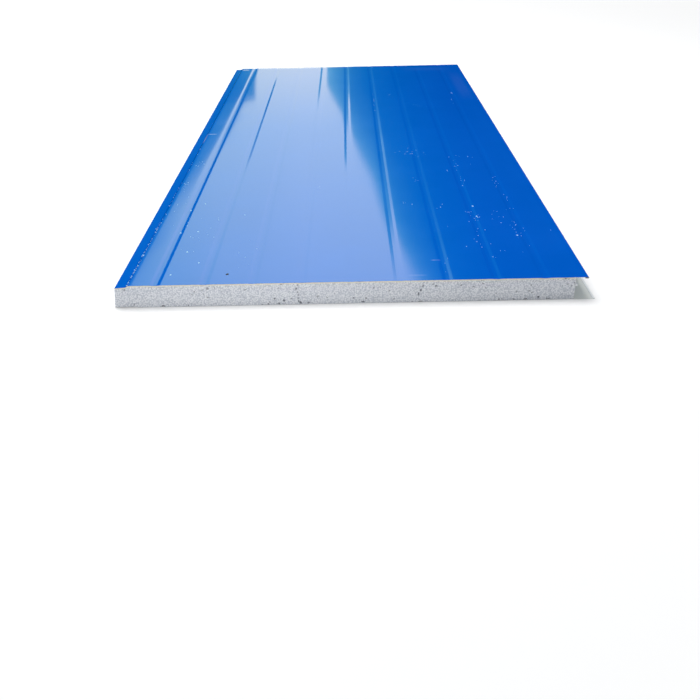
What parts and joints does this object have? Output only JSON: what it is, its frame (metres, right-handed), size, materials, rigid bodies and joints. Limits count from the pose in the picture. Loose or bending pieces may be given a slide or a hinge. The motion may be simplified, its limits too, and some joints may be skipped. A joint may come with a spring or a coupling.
{
  "type": "insulated sandwich panel",
  "caption": "Flat wall and roof panel: two thin painted steel skins glued to a bead foam core, with a lap strip on one long edge and an overhanging lip and flange on the other.",
  "frame": {"origin": "middle of the panel's underside, the inner face, at the bottom centre of its bounding box", "axes": "+Z out of the blue outer face, +Y along the panel's length and its grooves, +X across it towards the lip and flange edge"},
  "size_m": [0.994, 2.2, 0.05],
  "materials": {
    "outer_paint": "gloss",
    "inner_paint": "satin",
    "bead_foam": "matte"
  },
  "bodies": {
    "root": {"outer_skin": "outer_paint", "inner_skin": "inner_paint", "core_board_narrow": "bead_foam", "core_board_wide": "bead_foam"}
  },
  "joints": []
}
